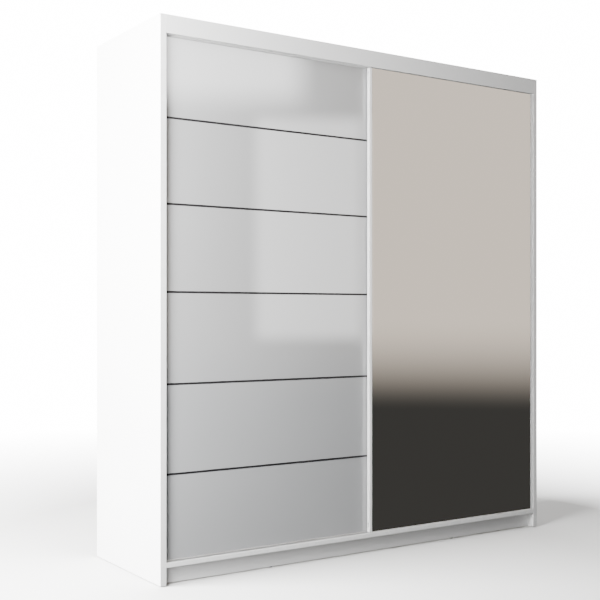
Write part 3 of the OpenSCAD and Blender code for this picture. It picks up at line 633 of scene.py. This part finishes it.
def softbox(name, place, aim, width, height, power):
    """Area light that neither the camera nor a reflection sees. Sizes are in metres, power in watts."""
    data = bpy.data.lights.new(name, "AREA")
    data.shape = "RECTANGLE"
    data.size = width
    data.size_y = height
    data.energy = power
    lamp = bpy.data.objects.new(name, data)
    lamp.location = place
    lamp.rotation_euler = (Vector(aim) - Vector(place)).to_track_quat("-Z", "Y").to_euler()
    lamp.visible_glossy = False
    lamp.visible_camera = False
    bpy.context.scene.collection.objects.link(lamp)


def stage_mesh(name, made, build_material):
    """A stage mesh with the material that build_material makes."""
    mesh = bpy.data.meshes.new(name)
    made.to_mesh(mesh)
    made.free()
    stage = bpy.data.objects.new(name, mesh)
    bpy.context.scene.collection.objects.link(stage)
    mesh.materials.append(build_material(name))
    return stage


WHITE_OUT = 16.0
FLOOR_REACH = 40.0
FLOOR_HEIGHT = -0.2 * MM
HAZE_HEIGHT = -0.1 * MM
HAZE_START = 1.6
HAZE_END = 5.0


def floor_material(name):
    look = Look(name, (0.80, 0.80, 0.79), 0.7, Specular_IOR_Level=0.2)
    return look.bump(look.noise(0.02, detail=4), 0.0002, 0.3).material


def haze_material(name):
    """Clear near the wardrobe, and as white as the background further off."""
    look = Look(name, (0, 0, 0), 1.0)
    tree = look.tree
    distance = look.node("ShaderNodeVectorMath", {0: look.place}, operation="LENGTH").outputs["Value"]
    fade = look.span(distance, 0, 1, HAZE_START, HAZE_END)
    glow = look.node("ShaderNodeEmission", {"Color": (1, 1, 1, 1), "Strength": WHITE_OUT})
    mix = look.node("ShaderNodeMixShader")
    tree.links.new(fade, mix.inputs[0])
    tree.links.new(look.node("ShaderNodeBsdfTransparent").outputs[0], mix.inputs[1])
    tree.links.new(glow.outputs[0], mix.inputs[2])
    tree.links.new(mix.outputs[0], tree.nodes["Material Output"].inputs["Surface"])
    return look.material


def make_floor():
    """Pale floor under a sheet of haze. Only the camera sees either."""
    layers = (("studio_floor", FLOOR_HEIGHT, floor_material), ("studio_haze", HAZE_HEIGHT, haze_material))
    for name, height, build in layers:
        made = bmesh.new()
        place = Matrix.Translation((0, 0, height))
        bmesh.ops.create_circle(made, cap_ends=True, segments=64, radius=FLOOR_REACH, matrix=place)
        stage = stage_mesh(name, made, build)
        stage.visible_glossy = False
        stage.visible_diffuse = False
        stage.visible_shadow = False


BACKDROP_RADIUS = 9.0
BACKDROP_HEIGHT = 24
WALL_FOOT = (-0.2, 1.0)
LOW_ZONE = (0.05, 0.047, 0.043)
WARM_WALL = (1.05, 0.90, 0.76)
# Bright cards: lowest and highest z, first and last angle from -Y towards +X, softness, strength
CARDS = [
    (3.75, 5.8, 12, 31, 0.03, 9.0),
    (0.72, 3.5, 27.5, 36, 0.015, 5.2),
]


def backdrop_material(name):
    """Plain warm wall above a dark low zone, with two soft bright cards that the glass door picks up."""
    look = Look(name, (0, 0, 0), 1.0)
    tree = look.tree
    split = look.node("ShaderNodeSeparateXYZ", {"Vector": look.place}).outputs
    height = split["Z"]
    heading = look.node("ShaderNodeMath", {0: split["X"], 1: split["Y"]}, operation="ARCTAN2").outputs[0]

    def edge(value, start, end):
        settings = {"Value": value, "From Min": start, "From Max": end}
        return look.node("ShaderNodeMapRange", settings, interpolation_type="SMOOTHSTEP").outputs["Result"]

    def times(a, b):
        return look.node("ShaderNodeMath", {0: a, 1: b}, operation="MULTIPLY").outputs[0]

    def plus(a, b):
        return look.node("ShaderNodeMath", {0: a, 1: b}, operation="ADD").outputs[0]

    def between(value, low, high, soft):
        return times(edge(value, low - soft, low + soft), edge(value, high + soft, high - soft))

    def azimuth(degrees):
        """Heading of a place that lies that many degrees from -Y towards +X."""
        return math.pi - math.radians(degrees)

    wall = look.node("ShaderNodeMix", data_type="RGBA")
    tree.links.new(edge(height, *WALL_FOOT), wall.inputs["Factor"])
    wall.inputs["A"].default_value = (*LOW_ZONE, 1)
    wall.inputs["B"].default_value = (*WARM_WALL, 1)
    bright = 0.0
    for low_z, high_z, low_turn, high_turn, soft, strength in CARDS:
        tall = between(height, low_z, high_z, soft * BACKDROP_RADIUS)
        wide = between(heading, azimuth(high_turn), azimuth(low_turn), soft)
        bright = plus(bright, times(times(tall, wide), strength))
    card = look.node("ShaderNodeEmission", {"Color": (1, 1, 1, 1), "Strength": bright})
    plain = look.node("ShaderNodeEmission", {"Color": wall.outputs["Result"], "Strength": 1.0})
    total = look.node("ShaderNodeAddShader")
    tree.links.new(plain.outputs[0], total.inputs[0])
    tree.links.new(card.outputs[0], total.inputs[1])
    tree.links.new(total.outputs[0], tree.nodes["Material Output"].inputs["Surface"])
    return look.material


def make_backdrop():
    """Cylinder round the wardrobe that only reflections see."""
    made = bmesh.new()
    bmesh.ops.create_cone(
        made, cap_ends=False, segments=96, radius1=BACKDROP_RADIUS, radius2=BACKDROP_RADIUS,
        depth=BACKDROP_HEIGHT,
    )
    backdrop = stage_mesh("studio_backdrop", made, backdrop_material)
    backdrop.visible_camera = False
    backdrop.visible_diffuse = False
    backdrop.visible_shadow = False
    backdrop.visible_transmission = False


WORLD_FILL = 0.162


def make_world():
    """White to the camera, and a dim even fill for the light."""
    world = bpy.data.worlds.new("studio")
    bpy.context.scene.world = world
    world.use_nodes = True
    tree = world.node_tree
    output = tree.nodes["World Output"]
    fill = tree.nodes["Background"]
    fill.inputs["Color"].default_value = (1, 1, 1, 1)
    fill.inputs["Strength"].default_value = WORLD_FILL
    seen = tree.nodes.new("ShaderNodeBackground")
    seen.inputs["Strength"].default_value = WHITE_OUT
    seen.inputs["Color"].default_value = (1, 1, 1, 1)
    path = tree.nodes.new("ShaderNodeLightPath")
    mix = tree.nodes.new("ShaderNodeMixShader")
    tree.links.new(path.outputs["Is Camera Ray"], mix.inputs[0])
    tree.links.new(fill.outputs[0], mix.inputs[1])
    tree.links.new(seen.outputs[0], mix.inputs[2])
    tree.links.new(mix.outputs[0], output.inputs["Surface"])


make_camera()
make_floor()
make_backdrop()
make_world()
# Each light's place, the point it aims at, its width and height, and its power
softbox("key_softbox", (-2.4, -1.15, 2.4), (-0.6, -0.2, 1.6), 0.9, 2.4, 162)
softbox("low_key_softbox", (-1.95, -1.1, 1.3), (-0.9, -0.2, 1.2), 0.8, 2.4, 84)
softbox("side_softbox", (-4.5, 0.7, 1.8), (-1, 0.1, 1.1), 2.4, 2.0, 1800)
softbox("floor_bounce", (-0.6, -2.2, 0.1), (-0.2, 0, 0.9), 2.6, 0.8, 3)
softbox("rear_softbox", (1.0, 5.5, 3.2), (0, 0, 1.2), 3.0, 2.4, 260)
softbox("right_softbox", (5.0, 0.5, 2.6), (0.5, 0, 1.2), 2.4, 2.2, 100)
